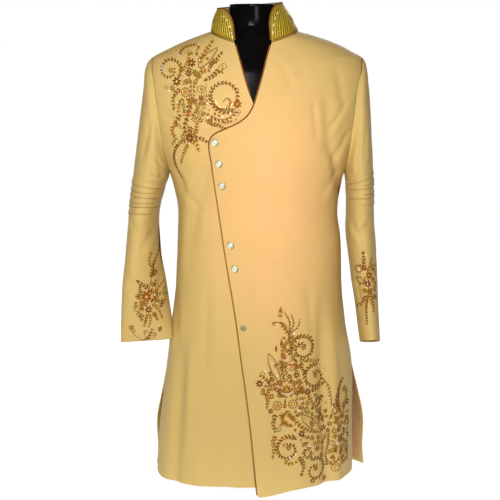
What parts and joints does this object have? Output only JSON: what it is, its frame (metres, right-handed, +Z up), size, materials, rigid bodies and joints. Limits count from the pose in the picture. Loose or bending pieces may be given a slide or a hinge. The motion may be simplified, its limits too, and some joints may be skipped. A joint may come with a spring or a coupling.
{
  "type": "sherwani coat on a dress form",
  "caption": "Long collared sherwani coat with a slanting buttoned front, piped edges, side vents and tucked sleeves, worn by a limbless dress form on a pole and an oval base.",
  "frame": {"origin": "centre of the underside of the stand's oval base", "axes": "+Z up, +X to the viewer's right, which is the wearer's left, and the front faces -Y"},
  "size_m": [0.5933, 0.3295, 1.1054],
  "materials": {
    "raw_silk": "golden beige slubbed raw silk",
    "collar_embroidery": "golden embroidered silk",
    "satin_lining": "red-brown satin",
    "piping_cord": "dark brown twisted cord",
    "pearl_button": "polished pearl",
    "press_button": "dull bronzed",
    "form_gloss": "gloss black",
    "stand_steel": "satin black"
  },
  "bodies": {
    "root": {"front_left": "raw_silk", "front_right": "raw_silk", "back": "raw_silk", "sleeve_right_top": "raw_silk", "sleeve_right_under": "raw_silk", "sleeve_left_top": "raw_silk", "sleeve_left_under": "raw_silk", "collar": "collar_embroidery", "lining_vent_right": "satin_lining", "lining_vent_left": "satin_lining", "lining_cuff_right": "satin_lining", "lining_cuff_left": "satin_lining", "piping_front": "piping_cord", "piping_neck": "piping_cord", "piping_collar": "piping_cord", "button_1": "pearl_button", "button_2": "pearl_button", "button_3": "pearl_button", "button_4": "pearl_button", "button_5": "pearl_button", "button_6": "press_button", "form_torso": "form_gloss", "form_neck_cap": "form_gloss", "form_pole": "stand_steel", "form_base": "stand_steel"}
  },
  "joints": []
}
